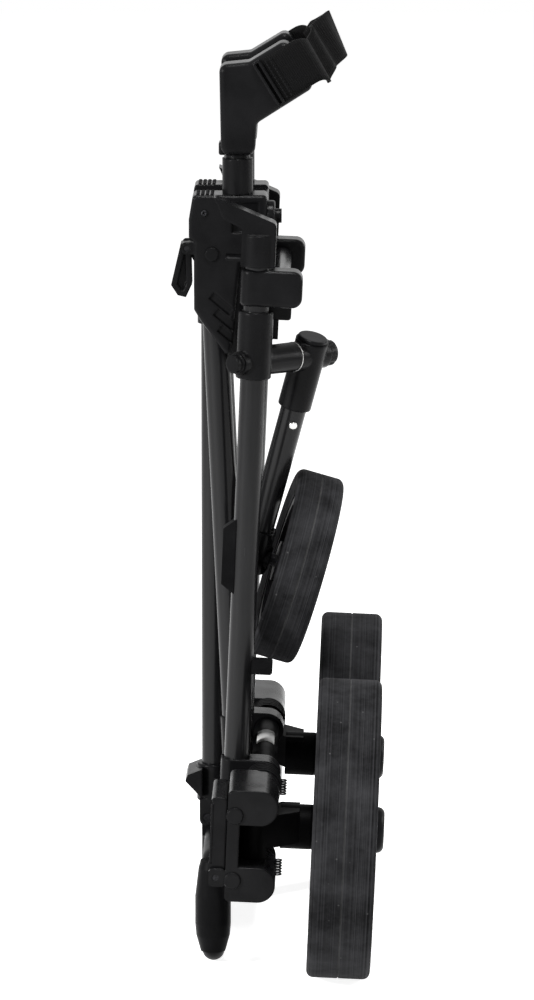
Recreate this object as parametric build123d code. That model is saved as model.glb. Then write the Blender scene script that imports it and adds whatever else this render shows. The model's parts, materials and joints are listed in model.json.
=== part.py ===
"""Three-wheel golf push cart, folded flat and standing on its rear wheels and its handle.

The frame has +Z up, +X towards the folded wheels and +Y away from the viewer, so the near side is -Y.
The base frame leans a little towards +X and the upright a little towards -X; both are drawn upright
in their own frame, with the pivot of the upright as origin, and then turned into place.
"""
import os
from math import cos, radians, sin, tan

from build123d import *

# Driving dimensions, in millimetres and degrees
TUBE_R = 12.7
TUBE_WALL = 1.6
RUN_CLEARANCE = 0.05
SIDE_CLEARANCE = 0.6
EDGE = 1.5

PIVOT_X = -40.972
PIVOT_Z = 181.423
PIVOT_R = 6.0
BASE_LEAN = 2.42
BASE_Y = 104.0
BASE_OVERHANG = 21.4

BEAM_X = 26.5
BEAM_Z = 8.0
BEAM_HALF = 182.0
BARREL_R = 17.0
BRACKET_HALF = 14.0
BRACKET_LEFT = 15.6

CLEVIS_INNER = 158.0
CLEVIS_OUTER = 246.0
CLEVIS_WEB = 12.0
CLEVIS_BACK = -5.0
JAW_DROP = 76.0
SWING_X = 21.0
SWING_Y = 200.0
SWING_PIN_R = 5.0
KNUCKLE_R = 13.0
SCREW_R = 8.5
SCREW_HEAD = 2.5
SLEEVE_LENGTH = 34.0
SLEEVE_RIBS = 5

LATCH_THICK = 16.0
LATCH_HEIGHT = 84.0
LATCH_LOW = -68.0
LATCH_PIN_R = 3.0
LATCH_EAR = 5.0

REAR_R = 146.0
REAR_WIDTH = 62.0
REAR_X = 108.0
REAR_Y = 155.0
REAR_AXLE_R = 8.0
ARM_HOUSING_R = 22.0
ARM_HOUSING_START = 46.0
WEB_STEP = 9.0

REAR_TYRE_DEPTH = 36.0
REAR_HUB_R = 26.0
REAR_CAP = 11.0
REAR_CAP_R = 22.5
HUB_INSET = 6.0
BUSH_WALL = 4.0

FRONT_R = 95.0
FRONT_WIDTH = 47.0
FRONT_AXLE_R = 6.0
FRONT_TYRE_DEPTH = 27.0
FRONT_HUB_R = 20.0
FRONT_CAP = 6.0
FRONT_OFFSET = 43.0
LEG_LENGTH = 220.0
LEG_TUBE_SHORT = 8.0
LEG_FOLD = 17.0
AXLE_FOLD = 20.0
LEG_PLAN = 45.0
LEG_SEAT = 16.0
LEG_REACH = 74.0
COLLAR_R = 17.2
COLLAR_GAP = 5.5
COLLAR_HEIGHT = 66.0
FOOT_HOLD = 30.0
FOOT_END = 16.0
AXLE_BOSS_R = 12.0
BOSS_R = 14.5
BOSS_REACH = 52.6
SHAFT_R = 8.0
BOLT_R = 5.0
BOLT_SEAT = 4.0
KNOB_R = 13.0
KNOB_LENGTH = 11.0
TEE_R = 16.5
TEE_SOCKET = 55.0
TEE_TOP = 16.0
BUTTON_R = 4.0
BUTTON_REACH = 15.4
BUTTON_DROP = 71.0

LUG_X = 21.0
LUG_DROP = 45.5
LUG_RISE = 18.0
LUG_END = 44.2
LUG_HALF = 14.0
LUG_EDGE = 3.5
CROSS_TUBE_R = 10.0
PRONG_SOCKET = 25.0
PRONG_HEIGHT = 43.0
PRONG_TIP_X = -45.3
PRONG_TIP_RISE = 66.6
PRONG_HALF = 12.0
PRONG_R = 16.6
BUMPER_LOW = 189.0
BUMPER_HIGH = 264.0
BUMPER_DEPTH = 10.0
BUMPER_HALF = 8.0
REST_LOW = 110.0
REST_HIGH = 124.0
REST_REACH = 31.0

UPRIGHT_LEAN = 2.7
UPRIGHT_LENGTH = 516.6
UPRIGHT_Y = 39.0
TUBE_DROP = 40.6
FOOT_R = 13.2
FOOT_SOCKET_R = 14.6
FOOT_SOCKET_TOP = 52.0

CHEEK_INNER = 20.0
CHEEK_OUTER = 55.0
HUB_RISE = 58.0
HUB_BACK = 22.5
HUB_FRONT = 54.0
HUB_STEP = 5.0
HUB_SKIRT = 106.0
HUB_SKIRT_LEFT = 66.0
HUB_EDGE = 3.5
NECK_FORWARD = 25.0
NECK_Y = 39.0
NECK_R = 15.0
NECK_RISE = 39.0
NECK_SPIGOT_R = 10.5
NECK_GROOVE = 4.0
ARM_HALF = 15.5
ARM_CORNER = 8.0
ARM_EDGE = 5.0
ARM_RISE_HEIGHT = 91.3
ARM_RISE = 31.5
ARM_BEND = 11.5
ARM_DEPTH = 54.0
ARM_LENGTH = 42.0
STRAP_WIDTH = 47.0
STRAP_THICK = 2.4
STRAP_BULGE = 38.0
STRAP_TIP = 52.0
STRAP_START = 4.0
HINGE_PIN_R = 6.0
HINGE_HEAD = 1.6

HANDLE_R = 12.0
HANDLE_SPIGOT_R = 11.4
HANDLE_LENGTH = 559.0
KNUCKLE_HANDLE_R = 22.0
KNUCKLE_SOCKET_R = 15.5
KNUCKLE_SOCKET = 76.0
YOKE_R = 17.0
YOKE_HEIGHT = 38.0
YOKE_SOCKET = 30.0
LOOP_FORWARD = 2.0
LOOP_PIN_BACK = 6.0
LOOP_PIN_DROP = 16.0
LOOP_PIN_R = 4.0
LOOP_EYE_R = 8.0
LOOP_HALF = 122.0
LOOP_HEIGHT = 91.45
LOOP_R = 11.0
LOOP_CORNER = 22.0
GRIP_R = 17.6
GRIP_END_R = 12.2

LEVER_INNER = 28.0
LEVER_OUTER = 48.0
LEVER_PIN_R = 2.5
LEVER_RIM = 5.5
LEVER_EAR = 4.4
LEVER_BACK = 2.0
LEVER_RECESS = 5.0

LEG_TUBE_END = LEG_LENGTH - LEG_TUBE_SHORT
UPRIGHT_TUBE_TOP = UPRIGHT_LENGTH - TUBE_DROP
BASE_TUBE_TOP = UPRIGHT_LENGTH + BASE_OVERHANG
LUG_Z = BASE_TUBE_TOP - LUG_DROP
COLLAR_HIGH = LUG_Z - LUG_RISE - COLLAR_GAP
COLLAR_LOW = COLLAR_HIGH - COLLAR_HEIGHT
LEG_Z = COLLAR_LOW + LEG_SEAT
PRONG_LOW = BASE_TUBE_TOP - PRONG_SOCKET
PRONG_HIGH = PRONG_LOW + PRONG_HEIGHT
HINGE_X = PIVOT_X - UPRIGHT_LENGTH * sin(radians(UPRIGHT_LEAN))
HINGE_Z = PIVOT_Z + UPRIGHT_LENGTH * cos(radians(UPRIGHT_LEAN))
HUB_TOP = HINGE_Z + HUB_RISE
HUB_LEFT = HINGE_X - HUB_BACK
HUB_RIGHT = HINGE_X + HUB_FRONT
NECK_X = HINGE_X + NECK_FORWARD
NECK_TOP = HUB_TOP + NECK_RISE
ARM_TOP = NECK_TOP + ARM_RISE_HEIGHT
YOKE_LOW = HINGE_Z - HANDLE_LENGTH
YOKE_HIGH = YOKE_LOW + YOKE_HEIGHT
LOOP_X = HINGE_X + LOOP_FORWARD
LOOP_PIN_X = HINGE_X - LOOP_PIN_BACK
LOOP_PIN_Z = YOKE_LOW - LOOP_PIN_DROP
LOOP_TOP = LOOP_PIN_Z - LOOP_EYE_R - LOOP_R - 1.0
LOOP_LOW = LOOP_TOP - LOOP_HEIGHT
BASE = Pos(PIVOT_X, 0, PIVOT_Z) * Rot(0, BASE_LEAN, 0)
UPRIGHT = Pos(PIVOT_X, 0, PIVOT_Z) * Rot(0, -UPRIGHT_LEAN, 0)


def rod(start, end, radius):
    """Solid round bar between two points."""
    line = Vector(*end) - Vector(*start)
    bar = Cylinder(radius, line.length, align=(Align.CENTER, Align.CENTER, Align.MIN))
    return Plane(origin=start, z_dir=line) * bar


def pipe(start, end, outer, inner):
    """Round tube between two points."""
    return rod(start, end, outer) - rod(start, end, inner)


def across(x, z, radius, y0, y1):
    """Round bar along Y at the given place."""
    return rod((x, y0, z), (x, y1, z), radius)


def upright_bar(x, y, radius, z0, z1):
    """Round bar along Z at the given place."""
    return rod((x, y, z0), (x, y, z1), radius)


def block(x0, x1, y0, y1, z0, z1):
    """Box between two corners."""
    return Pos((x0 + x1) / 2, (y0 + y1) / 2, (z0 + z1) / 2) * Box(x1 - x0, y1 - y0, z1 - z0)


def slab(points, y0, y1):
    """Plate with the given outline in X and Z, between two places along Y."""
    face = make_face(Polyline(*points, close=True))
    return extrude(Plane.XZ.offset(-y1) * face, amount=y1 - y0, dir=(0, -1, 0))


def soften(part, axis, radius):
    """Part with its edges along one axis rounded."""
    return fillet(part.edges().filter_by(axis), radius)


def end_rim(part, point):
    """Round edge of a part that lies nearest to a point."""
    return part.edges().filter_by(GeomType.CIRCLE).sort_by_distance(point)[0]


def far(part):
    """Mirror image of a near piece, for the far side."""
    return mirror(part, about=Plane.XZ)


def ring_stack(x, z, bore, radius, y0, y1, ribs):
    """Sleeve along Y whose outside has a row of round ribs."""
    pitch = (y1 - y0) / ribs
    sleeve = across(x, z, radius - pitch / 3, y0, y1)
    for index in range(ribs):
        low = y0 + pitch * index
        sleeve += across(x, z, radius, low, low + pitch * 0.55)
    if bore > 0:
        sleeve -= across(x, z, bore, y0, y1)
    return sleeve


# Base frame, in its own frame
def base_tube():
    start = (0, -BASE_Y, PIVOT_R + 1.5)
    return pipe(start, (0, -BASE_Y, BASE_TUBE_TOP), TUBE_R, TUBE_R - TUBE_WALL)


def rear_cross_tube():
    return pipe((BEAM_X, -BEAM_HALF, BEAM_Z), (BEAM_X, BEAM_HALF, BEAM_Z), TUBE_R, TUBE_R - TUBE_WALL)


def beam_bracket():
    inner = -BASE_Y + BRACKET_HALF
    outer = -BASE_Y - BRACKET_HALF
    low = BEAM_Z - BARREL_R
    high = BEAM_Z + BARREL_R
    body = block(-BRACKET_LEFT, BEAM_X, outer, inner, low, high)
    left = body.edges().filter_by(Axis.Z).sort_by(Axis.X)[:2]
    body = fillet(left, BRACKET_HALF * 0.7)
    body += across(BEAM_X, BEAM_Z, BARREL_R, outer, inner)
    body -= across(BEAM_X, BEAM_Z, TUBE_R, outer, inner)
    body -= upright_bar(0, -BASE_Y, TUBE_R, PIVOT_R + 1.5, high)
    return body - across(0, 0, PIVOT_R, outer, inner)


def pivot_shaft():
    reach = BASE_Y + BRACKET_HALF + 1.5
    return across(0, 0, PIVOT_R, -reach, reach)


def wheel_clevis():
    outer = -CLEVIS_OUTER
    inner = -CLEVIS_INNER
    high = BEAM_Z + BARREL_R
    low = BEAM_Z - JAW_DROP - BARREL_R
    body = block(CLEVIS_BACK, CLEVIS_BACK + CLEVIS_WEB, outer, inner, low, high)
    body = fillet(body.edges().filter_by(Axis.Y).sort_by(Axis.X)[:2], 5)
    for axis_z in (BEAM_Z, BEAM_Z - JAW_DROP):
        body += block(CLEVIS_BACK + CLEVIS_WEB, BEAM_X, outer, inner, axis_z - BARREL_R, axis_z + BARREL_R)
        body += across(BEAM_X, axis_z, BARREL_R, outer, inner)
    body -= across(BEAM_X, BEAM_Z, TUBE_R, -BEAM_HALF, inner)
    body -= upright_bar(SWING_X, -SWING_Y, SWING_PIN_R, low + 5, high - 5)
    for side in (inner, outer + LATCH_EAR):
        ear = block(CLEVIS_BACK - LATCH_THICK, CLEVIS_BACK, side - LATCH_EAR, side,
                    LATCH_LOW - 3, LATCH_LOW + 15)
        body += soften(ear, Axis.Y, 4)
    body -= across(latch_pin_x(), latch_pin_z(), LATCH_PIN_R, outer, inner)
    for head_z in (0, BEAM_Z - JAW_DROP + 4):
        body -= across(CLEVIS_BACK + CLEVIS_WEB / 2 + 1, head_z, 3, outer, outer + 12)
    return body


def latch_pin_x():
    return CLEVIS_BACK - LATCH_THICK / 2 - 1


def latch_pin_z():
    return LATCH_LOW + 6


def clevis_screws():
    """Two round-headed screws in the end face of the clevis."""
    screws = Part()
    for head_z in (0, BEAM_Z - JAW_DROP + 4):
        x = CLEVIS_BACK + CLEVIS_WEB / 2 + 1
        head = across(x, head_z, SCREW_R, -CLEVIS_OUTER - SCREW_HEAD, -CLEVIS_OUTER)
        head = fillet(head.edges().sort_by(Axis.Y)[:1], 1.8)
        screws += head + across(x, head_z, 3, -CLEVIS_OUTER, -CLEVIS_OUTER + 12)
    return screws


def swing_pin():
    high = BEAM_Z + BARREL_R - 5
    low = BEAM_Z - JAW_DROP - BARREL_R + 5
    return upright_bar(SWING_X, -SWING_Y, SWING_PIN_R, low, high)


def ribbed_sleeves():
    """Ribbed sleeves on the inner ends of both barrels."""
    inner = -CLEVIS_INNER
    upper = ring_stack(BEAM_X, BEAM_Z, TUBE_R, BARREL_R + 1, inner, inner + SLEEVE_LENGTH, SLEEVE_RIBS)
    lower = ring_stack(BEAM_X, BEAM_Z - JAW_DROP, 0, BARREL_R - 1, inner, inner + SLEEVE_LENGTH, SLEEVE_RIBS)
    return upper + lower


def wheel_latch():
    """Ribbed paddle behind the clevis, hinged at its lower end."""
    gap = SIDE_CLEARANCE
    right = CLEVIS_BACK - gap
    left = CLEVIS_BACK - LATCH_THICK
    outer = -CLEVIS_OUTER + LATCH_EAR + gap
    inner = -CLEVIS_INNER - LATCH_EAR - gap
    body = block(left, right, outer, inner, LATCH_LOW, LATCH_LOW + LATCH_HEIGHT)
    body = soften(body, Axis.Y, 4)
    rib_pitch = 8.0
    for index in range(7):
        z = LATCH_LOW + 24 + rib_pitch * index
        body -= across(left - 1.2, z, 2.4, outer, inner)
    return body - across(latch_pin_x(), latch_pin_z(), LATCH_PIN_R + RUN_CLEARANCE, outer, inner)


def latch_pin():
    return across(latch_pin_x(), latch_pin_z(), LATCH_PIN_R, -CLEVIS_OUTER, -CLEVIS_INNER)


def cross_lug():
    outer = -BASE_Y - LUG_HALF
    inner = -BASE_Y + LUG_HALF
    low = LUG_Z - LUG_RISE
    high = LUG_Z + LUG_RISE
    body = block(-TUBE_R - 3.5, LUG_END, outer, inner, low, high)
    body = fillet(body.edges().filter_by(Axis.Z).sort_by(Axis.X)[:2], LUG_HALF * 0.8)
    body = fillet(body.edges().filter_by(Axis.Y).sort_by(Axis.X)[-2:], LUG_HALF * 0.7)
    body = fillet(body.faces().sort_by(Axis.Y)[0].edges().filter_by(Axis.X), LUG_EDGE)
    body -= upright_bar(0, -BASE_Y, TUBE_R, low, high)
    return body - across(LUG_X, LUG_Z, CROSS_TUBE_R, -cross_tube_reach(), inner)


def cross_tube_reach():
    """Half length of the front cross tube, which ends inside the lugs, short of the base tubes."""
    return BASE_Y - LUG_HALF + 6


def front_cross_tube():
    reach = cross_tube_reach()
    start = (LUG_X, -reach, LUG_Z)
    return pipe(start, (LUG_X, reach, LUG_Z), CROSS_TUBE_R, CROSS_TUBE_R - TUBE_WALL)


def cross_clip():
    """Clip hanging from the front cross tube, with a tab below."""
    y0 = -78.0
    y1 = -52.0
    body = block(LUG_X - 13, LUG_X + 13, y0, y1, LUG_Z - 36, LUG_Z + 3)
    body = soften(body, Axis.Y, 3)
    body += block(LUG_X - 7, LUG_X + 1, y0 + 5, y1 - 5, LUG_Z - 56, LUG_Z - 36)
    return body - across(LUG_X, LUG_Z, CROSS_TUBE_R, y0, y1)


def bag_prong():
    """Fin that carries the base of the bag, on the front end of a base tube."""
    points = [
        (PRONG_TIP_X, PRONG_LOW + PRONG_TIP_RISE),
        (PRONG_R, PRONG_HIGH),
        (PRONG_R, PRONG_LOW),
        (-PRONG_R, PRONG_LOW),
        (-PRONG_R, PRONG_LOW + 5),
        (-PRONG_R - 15, PRONG_LOW + 5),
        (-PRONG_R - 15, PRONG_LOW + 9),
        (-PRONG_R, PRONG_LOW + 9),
        (-PRONG_R, PRONG_HIGH - 6),
        (-PRONG_R - 19, PRONG_HIGH + 3),
    ]
    outer = -BASE_Y - PRONG_HALF
    inner = -BASE_Y + PRONG_HALF
    body = slab(points, outer, inner)
    corner = body.edges().filter_by(Axis.Y).sort_by_distance((PRONG_R, -BASE_Y, PRONG_HIGH))[0]
    body = fillet(corner, 6)
    body += upright_bar(0, -BASE_Y, PRONG_R, PRONG_LOW, PRONG_HIGH - 12)
    return body - upright_bar(0, -BASE_Y, TUBE_R, PRONG_LOW, BASE_TUBE_TOP)


def frame_bumper():
    """Pad on the left of a base tube, with bevelled ends."""
    left = -TUBE_R - BUMPER_DEPTH
    points = [
        (-TUBE_R + 3, BUMPER_LOW),
        (left, BUMPER_LOW + BUMPER_DEPTH),
        (left, BUMPER_HIGH - BUMPER_DEPTH),
        (-TUBE_R + 3, BUMPER_HIGH),
    ]
    body = slab(points, -BASE_Y - BUMPER_HALF, -BASE_Y + BUMPER_HALF)
    return body - upright_bar(0, -BASE_Y, TUBE_R, BUMPER_LOW, BUMPER_HIGH)


def rest_block():
    body = block(TUBE_R - 4, REST_REACH, -BASE_Y - BUMPER_HALF, -BASE_Y + BUMPER_HALF, REST_LOW, REST_HIGH)
    body = fillet(body.edges().filter_by(Axis.Y).sort_by(Axis.X)[-2:], 3)
    return body - upright_bar(0, -BASE_Y, TUBE_R, REST_LOW, REST_HIGH)


# Front leg, in the frame of the base
def leg_axis():
    """Direction of the leg shaft, from the near base tube inwards."""
    return Vector(cos(radians(LEG_PLAN)), sin(radians(LEG_PLAN)), 0)


def leg_down(fold=LEG_FOLD):
    """Direction of the folded leg, from its tee to its axle."""
    lean = Vector(-sin(radians(LEG_PLAN)), cos(radians(LEG_PLAN)), 0)
    return lean * sin(radians(fold)) - Vector(0, 0, 1) * cos(radians(fold))


def wheel_axis():
    """Axis of the front wheel, nearly square to the leg, which turns sideways when the leg swings up."""
    side = leg_axis().cross(leg_down(AXLE_FOLD))
    return leg_axis() * sin(radians(LEG_PLAN)) - side * cos(radians(LEG_PLAN))


def along_shaft(distance):
    """Point on the axis of the leg shaft."""
    return Vector(0, -BASE_Y, LEG_Z) + leg_axis() * distance


def along_leg(distance):
    """Point on the axis of the folded leg."""
    return along_shaft(LEG_REACH) + leg_down() * distance


def along_front_axle(distance):
    """Point on the axis of the front wheel."""
    return along_leg(LEG_LENGTH) + wheel_axis() * distance


def shaft_rod(start, end, radius):
    return rod(along_shaft(start), along_shaft(end), radius)


def leg_rod(start, end, radius):
    return rod(along_leg(start), along_leg(end), radius)


def axle_rod(start, end, radius):
    return rod(along_front_axle(start), along_front_axle(end), radius)


def leg_collar():
    body = upright_bar(0, -BASE_Y, COLLAR_R, COLLAR_LOW, COLLAR_HIGH)
    body = fillet(body.edges(), EDGE)
    body += shaft_rod(0, BOSS_REACH, BOSS_R)
    body += shaft_rod(-COLLAR_R - BOLT_SEAT, 0, BOSS_R - 3)
    body -= upright_bar(0, -BASE_Y, TUBE_R, COLLAR_LOW, COLLAR_HIGH)
    body -= shaft_rod(-COLLAR_R - BOLT_SEAT, TUBE_R + 8, BOLT_R)
    return body - shaft_rod(TUBE_R + 8, BOSS_REACH, SHAFT_R)


def leg_shaft():
    """Bolt through the collar and the near base tube, whose thick end is the shaft of the front leg."""
    seat = -COLLAR_R - BOLT_SEAT
    body = shaft_rod(seat, TUBE_R + 8, BOLT_R)
    body += shaft_rod(TUBE_R + 8, LEG_REACH + TEE_R + 8, SHAFT_R)
    body += shaft_rod(seat - 2.5, seat, BOLT_R + 5.5)
    return body + shaft_rod(seat - 8, seat - 2.5, BOLT_R + 4)


def lock_knob():
    start = LEG_REACH + TEE_R + 2 + SIDE_CLEARANCE
    body = shaft_rod(start, start + KNOB_LENGTH, KNOB_R)
    body = fillet(end_rim(body, along_shaft(start + KNOB_LENGTH)), 3)
    for index in range(8):
        turn = radians(45 * index)
        side = leg_axis().cross(Vector(0, 0, 1)) * cos(turn) + Vector(0, 0, 1) * sin(turn)
        low = along_shaft(start) + side * (KNOB_R + 1.6)
        high = along_shaft(start + KNOB_LENGTH) + side * (KNOB_R + 1.6)
        body -= rod(low, high, 3)
    return body - shaft_rod(start, LEG_REACH + TEE_R + 8 + 0.5, SHAFT_R + RUN_CLEARANCE)


def leg_tee():
    body = leg_rod(-TEE_TOP, TEE_SOCKET, TEE_R)
    body += shaft_rod(BOSS_REACH + SIDE_CLEARANCE, LEG_REACH + TEE_R + 2, BOSS_R)
    body -= leg_rod(SHAFT_R + 5, TEE_SOCKET, TUBE_R)
    body -= shaft_rod(BOSS_REACH, LEG_REACH + TEE_R + 3, SHAFT_R + RUN_CLEARANCE)
    return body


def tee_cap():
    body = leg_rod(-TEE_TOP - 4, -TEE_TOP, TEE_R - 1.5)
    return fillet(end_rim(body, along_leg(-TEE_TOP - 4)), 2)


def button_axis():
    """Direction in which the snap button stands out of the leg."""
    front = Vector(0.25, -1, 0)
    return (front - leg_down() * front.dot(leg_down())).normalized()


def button_rod(start, end, radius):
    centre = along_leg(BUTTON_DROP)
    low = centre + button_axis() * start
    high = centre + button_axis() * end
    return rod(low, high, radius)


def leg_tube():
    body = leg_rod(SHAFT_R + 5, LEG_TUBE_END, TUBE_R)
    body -= leg_rod(SHAFT_R + 5, LEG_TUBE_END, TUBE_R - TUBE_WALL)
    return body - button_rod(0, TUBE_R + 5, BUTTON_R + RUN_CLEARANCE)


def snap_button():
    body = button_rod(TUBE_R - TUBE_WALL - 4, BUTTON_REACH, BUTTON_R)
    tip = along_leg(BUTTON_DROP) + button_axis() * BUTTON_REACH
    return fillet(end_rim(body, tip), 1.2)


def leg_foot():
    """Casting on the lower end of the leg that carries the front axle."""
    inner_face = FRONT_OFFSET - FRONT_WIDTH / 2 - 3
    body = leg_rod(LEG_LENGTH - FOOT_HOLD, LEG_LENGTH + FOOT_END, TUBE_R + 3)
    body = fillet(body.edges(), EDGE)
    body += axle_rod(-TUBE_R - 3, inner_face, AXLE_BOSS_R)
    body -= leg_rod(LEG_LENGTH - FOOT_HOLD, LEG_TUBE_END, TUBE_R)
    return body - axle_rod(-TUBE_R - 4, inner_face + 1, FRONT_AXLE_R)


def front_axle():
    return axle_rod(-TUBE_R - 6, FRONT_OFFSET + (FRONT_WIDTH - HUB_INSET) / 2 - SIDE_CLEARANCE, FRONT_AXLE_R)


# Wheels, drawn about Z and then set on their axle
def tyre(radius, width, depth):
    """Foam tyre with a flat tread, rounded shoulders and a fine groove round the middle."""
    half = width / 2
    inner = radius - depth
    section = make_face(Polyline((inner, -half + 4), (inner, half - 4), (radius - 8, half), (radius, half),
                                 (radius, -half), (radius - 8, -half), close=True))
    corners = section.vertices().sort_by(Axis.X)[-2:]
    section = fillet(corners, 7)
    ring = revolve(Plane.XZ * section, Axis.Z)
    groove = Cylinder(radius + 1, 1.2) - Cylinder(radius - 0.8, 1.2)
    return ring - groove


def spoked_rim(radius, width, hub_r, bore, spokes):
    """Rim with a hub, radial spokes and a bore for its bush."""
    half = width / 2
    rim = Cylinder(radius, width - 10) - Cylinder(radius - 9, width - 10)
    hub = Cylinder(hub_r, width - HUB_INSET)
    wheel = rim + hub
    for index in range(spokes):
        spoke = Pos((radius - 4 + hub_r - 4) / 2, 0, 0) * Box(radius - hub_r, 16, half)
        wheel += Rot(0, 0, 360 / spokes * index) * spoke
    return wheel - Cylinder(bore, width)


def axle_bush(bore, outer, length):
    return Cylinder(outer, length) - Cylinder(bore, length)


def hub_cap(radius, height):
    cap = Cylinder(radius, height, align=(Align.CENTER, Align.CENTER, Align.MIN))
    return fillet(cap.edges().sort_by(Axis.Z)[-1:], height * 0.6)


def rear_wheel_place():
    """Frame of the near rear wheel, whose Z points out of the folded cart."""
    return Plane(origin=(REAR_X, -REAR_Y, BEAM_Z - JAW_DROP / 2), x_dir=(0, 1, 0), z_dir=(1, 0, 0))


def front_wheel_place():
    """Frame of the front wheel, whose Z points away from the leg."""
    return Plane(origin=along_front_axle(FRONT_OFFSET), x_dir=leg_down(AXLE_FOLD), z_dir=wheel_axis())


def wheel_arm():
    """Swing arm of a rear wheel, with its knuckle in the clevis and its housing at the axle."""
    mid = BEAM_Z - JAW_DROP / 2
    half = JAW_DROP / 2 - BARREL_R - SIDE_CLEARANCE
    end = REAR_X - REAR_WIDTH / 2 - 1.5
    points = [
        (SWING_X - KNUCKLE_R * 0.6, -SWING_Y + KNUCKLE_R * 0.8),
        (SWING_X + KNUCKLE_R * 0.5, -SWING_Y - KNUCKLE_R * 0.86),
        (ARM_HOUSING_START + 18, -REAR_Y - ARM_HOUSING_R),
        (ARM_HOUSING_START + 18, -REAR_Y + ARM_HOUSING_R - 6),
        (ARM_HOUSING_START, -REAR_Y + ARM_HOUSING_R - 6),
    ]
    web_low = mid - half + WEB_STEP
    web = extrude(make_face(Polyline(*points, close=True)), amount=mid + half - web_low, dir=(0, 0, 1))
    body = Pos(0, 0, web_low) * web
    body += upright_bar(SWING_X, -SWING_Y, KNUCKLE_R, mid - half, mid + half)
    body += rod((ARM_HOUSING_START, -REAR_Y, mid), (end, -REAR_Y, mid), ARM_HOUSING_R)
    body -= upright_bar(SWING_X, -SWING_Y, SWING_PIN_R + RUN_CLEARANCE, mid - half, mid + half)
    return body - rod((ARM_HOUSING_START + 4, -REAR_Y, mid), (end, -REAR_Y, mid), REAR_AXLE_R)


def rear_axle():
    mid = BEAM_Z - JAW_DROP / 2
    end = REAR_X + (REAR_WIDTH - HUB_INSET) / 2 - SIDE_CLEARANCE
    return rod((ARM_HOUSING_START + 4, -REAR_Y, mid), (end, -REAR_Y, mid), REAR_AXLE_R)


# Upright, in its own frame for the tubes and in the frame of the part for the hub
def upright_tube():
    start = (0, -UPRIGHT_Y, FOOT_R + 2)
    return pipe(start, (0, -UPRIGHT_Y, UPRIGHT_TUBE_TOP), TUBE_R, TUBE_R - TUBE_WALL)


def upright_foot():
    outer = -UPRIGHT_Y - TUBE_R
    inner = -UPRIGHT_Y + TUBE_R
    body = across(0, 0, FOOT_R, outer, inner)
    body += upright_bar(0, -UPRIGHT_Y, FOOT_SOCKET_R, FOOT_R - 2, FOOT_SOCKET_TOP)
    body += block(-FOOT_R, FOOT_R, outer, inner, 0, FOOT_R)
    body -= upright_bar(0, -UPRIGHT_Y, TUBE_R, FOOT_R + 2, FOOT_SOCKET_TOP)
    return body - across(0, 0, PIVOT_R + RUN_CLEARANCE, outer, inner)


def cheek_outline():
    """Side outline of the hub, with a step for the lever and a lower end cut on the slant."""
    return [
        (HUB_LEFT + 4, HUB_TOP),
        (HUB_RIGHT, HUB_TOP),
        (HUB_RIGHT, HINGE_Z + 9),
        (HUB_RIGHT - 26, HINGE_Z - 9),
        (HUB_RIGHT - 36, HINGE_Z - HUB_SKIRT),
        (HUB_LEFT + 11.5, HINGE_Z - HUB_SKIRT_LEFT),
        (HUB_LEFT + HUB_STEP, HINGE_Z - 55),
        (HUB_LEFT + HUB_STEP, HINGE_Z + 12),
        (HUB_LEFT, HINGE_Z + 15),
        (HUB_LEFT, HINGE_Z + 34),
    ]


def hub_housing():
    """Hub casting: two cheeks with sockets for the upright tubes, joined behind the handle slot."""
    cheek = slab(cheek_outline(), -CHEEK_OUTER, -CHEEK_INNER)
    cheek = soften(cheek, Axis.Y, HUB_EDGE + 0.5)
    cheek = fillet(cheek.faces().sort_by(Axis.Y)[0].edges(), HUB_EDGE)
    for index in range(3):
        pocket = block(-13, 13, -CHEEK_OUTER, -CHEEK_OUTER + 2, -4, 4)
        place = Pos(HUB_LEFT + 32 + 4 * index, 0, HINGE_Z - 49 - 16 * index)
        cheek -= place * Rot(0, 40, 0) * pocket
    for index in range(2):
        z = HINGE_Z + 49 - 18 * index
        cheek -= block(HUB_LEFT + 42, HUB_RIGHT - 8, -CHEEK_OUTER, -CHEEK_OUTER + 4, z - 10, z + 2)
    cheek -= UPRIGHT * upright_bar(0, -UPRIGHT_Y, TUBE_R, 0, UPRIGHT_TUBE_TOP)
    bridge = block(HUB_RIGHT - 30, HUB_RIGHT, -CHEEK_INNER, CHEEK_INNER, HINGE_Z + 24, HUB_TOP - 4)
    body = cheek + lever_ears() + far(cheek) + bridge
    body -= across(HINGE_X, HINGE_Z, HINGE_PIN_R, -CHEEK_OUTER, CHEEK_OUTER)
    for side in (-1, 1):
        body -= upright_bar(NECK_X, side * NECK_Y, NECK_SPIGOT_R, HUB_TOP - 20, HUB_TOP)
    return body - across(lever_pin_x(), lever_pin_z(), LEVER_PIN_R, -LEVER_OUTER - 6, -LEVER_INNER + 6)


def lever_pin_x():
    return HUB_LEFT - LEVER_BACK


def lever_pin_z():
    return HINGE_Z + 5.5


def lever_ears():
    """Two ears on the left of the near cheek that carry the release lever."""
    pair = None
    for low in (-LEVER_OUTER - SIDE_CLEARANCE - LEVER_EAR, -LEVER_INNER + SIDE_CLEARANCE):
        ear = block(lever_pin_x() - 5, HUB_LEFT + HUB_STEP + 2, low, low + LEVER_EAR,
                    lever_pin_z() - 6, lever_pin_z() + 6)
        ear = fillet(ear.edges().filter_by(Axis.Y).sort_by(Axis.X)[:2], 4)
        pair = ear if pair is None else pair + ear
    return pair


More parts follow.
